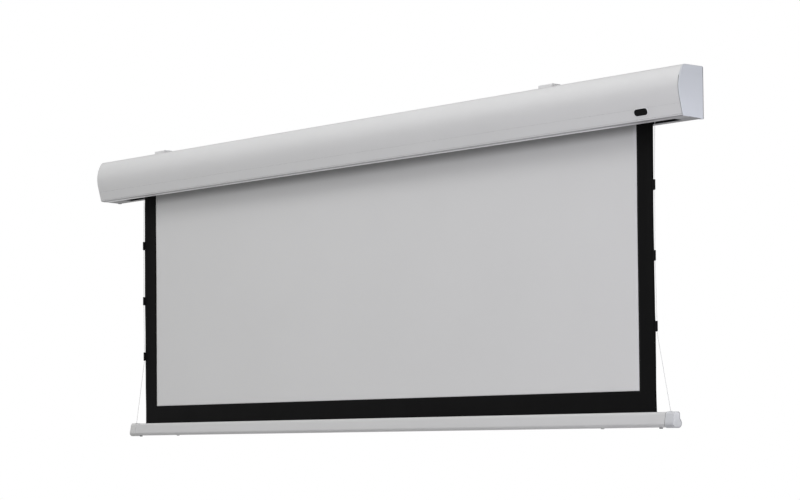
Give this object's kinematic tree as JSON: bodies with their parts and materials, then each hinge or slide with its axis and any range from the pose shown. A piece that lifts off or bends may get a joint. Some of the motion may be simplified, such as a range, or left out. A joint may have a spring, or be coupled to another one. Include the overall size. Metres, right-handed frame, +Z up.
{
  "type": "tensioned motorized projector screen",
  "caption": "Motorized projection screen with side tension tabs and cords, rolled in a D-shaped white case, hung part-lowered with a weighted bottom bar.",
  "frame": {"origin": "centre of the case's flat back face, the face that lies against the wall", "axes": "+X along the case to the right as the audience sees it, +Y towards the wall, +Z up"},
  "size_m": [2.682, 0.0943, 0.9504],
  "materials": {
    "case": "satin white powder coat with a fine grain",
    "end_cap": "fine moulded texture, cool white",
    "view_fabric": "matte light grey projection surface",
    "black_border": "matte black masking",
    "tab": "moulded black",
    "cord": "thin braided light grey cord",
    "badge": "blank black pill",
    "bar": "satin white powder coat",
    "steel": "zinc plated",
    "motor": "galvanised steel tube",
    "grey_plastic": "moulded",
    "black_plastic": "moulded",
    "bronze": "sintered",
    "board": "circuit board",
    "bracket": "white powder coat"
  },
  "bodies": {
    "housing": {"case_shell": "case", "front_cover": "case", "slot_lip": "case", "bottom_plate_left": "case", "bottom_plate_right": "case", "end_cap_left": "end_cap", "end_cap_right": "end_cap", "end_plate_left": "steel", "end_plate_right": "steel", "end_screw_left": "black_plastic", "end_screw_right": "black_plastic", "badge": "badge", "support_plate_left": "steel", "support_plate_right": "steel", "motor_head": "black_plastic", "motor_body": "motor", "motor_peg": "steel", "motor_lead": "black_plastic", "idler_pin": "steel", "receiver_tray": "grey_plastic", "receiver_board": "board", "terminal_block": "black_plastic", "cable_gland": "black_plastic", "view_fabric": "view_fabric", "black_border": "black_border", "tension_cord_left": "cord", "tension_cord_right": "cord"},
    "roller": {"roller_tube": "motor", "wound_fabric": "view_fabric", "cord_drum_left": "black_plastic", "cord_drum_right": "black_plastic", "limit_ring": "grey_plastic", "drive_wheel": "grey_plastic", "idler_plug": "grey_plastic", "idler_bearing": "bronze"},
    "weight_bar": {"bar_profile": "bar", "bar_cap_left": "end_cap", "bar_cap_right": "end_cap", "ballast_rod": "steel", "hem_rod": "steel", "cord_spring_left": "steel", "cord_spring_right": "steel", "cord_ferrule_left": "bronze", "cord_ferrule_right": "bronze", "lock_screw_left": "grey_plastic", "lock_screw_right": "grey_plastic"},
    "adjuster_knob_left": {"adjuster_left": "grey_plastic"},
    "adjuster_knob_right": {"adjuster_right": "grey_plastic"},
    "tab_row_1": {"tab_left_1": "tab", "tab_right_1": "tab"},
    "tab_row_2": {"tab_left_2": "tab", "tab_right_2": "tab"},
    "tab_row_3": {"tab_left_3": "tab", "tab_right_3": "tab"},
    "bracket_slider_left": {"bracket_left": "bracket", "clamp_bolt_left": "steel", "rail_nut_left": "steel"},
    "bracket_slider_right": {"bracket_right": "bracket", "clamp_bolt_right": "steel", "rail_nut_right": "steel"}
  },
  "joints": [
    {"name": "screen_travel", "type": "slide", "parent": "housing", "child": "weight_bar", "axis": [0, 0, 1], "range_m": [0, 0.75], "deforming": ["view_fabric", "black_border", "tension_cord_left", "tension_cord_right"]},
    {"name": "roller_spin", "type": "hinge", "parent": "housing", "child": "roller", "pos_m": [0.02, -0.0565, 0.009], "axis": [1, 0, 0], "range_deg": [0, 1520]},
    {"name": "tab_row_1_rise", "type": "slide", "parent": "housing", "child": "tab_row_1", "axis": [0, 0, 1], "range_m": [0, 0.25]},
    {"name": "tab_row_2_rise", "type": "slide", "parent": "housing", "child": "tab_row_2", "axis": [0, 0, 1], "range_m": [0, 0.41]},
    {"name": "tab_row_3_rise", "type": "slide", "parent": "housing", "child": "tab_row_3", "axis": [0, 0, 1], "range_m": [0, 0.57]},
    {"name": "adjuster_left_turn", "type": "hinge", "parent": "weight_bar", "child": "adjuster_knob_left", "pos_m": [-1.174, -0.0315, -0.8602], "axis": [0, 0, 1], "range_deg": [-720, 720]},
    {"name": "adjuster_right_turn", "type": "hinge", "parent": "weight_bar", "child": "adjuster_knob_right", "pos_m": [1.204, -0.0315, -0.8602], "axis": [0, 0, 1], "range_deg": [-720, 720]},
    {"name": "bracket_left_slide", "type": "slide", "parent": "housing", "child": "bracket_slider_left", "axis": [1, 0, 0], "range_m": [-0.2, 0.6]},
    {"name": "bracket_right_slide", "type": "slide", "parent": "housing", "child": "bracket_slider_right", "axis": [1, 0, 0], "range_m": [-0.6, 0.4]}
  ],
  "couplings": [
    {"joint": "roller_spin", "follows": "screen_travel", "rad_per_m": 35.273},
    {"joint": "tab_row_1_rise", "follows": "screen_travel", "ratio": 0.32674},
    {"joint": "tab_row_2_rise", "follows": "screen_travel", "ratio": 0.53646},
    {"joint": "tab_row_3_rise", "follows": "screen_travel", "ratio": 0.74618}
  ]
}
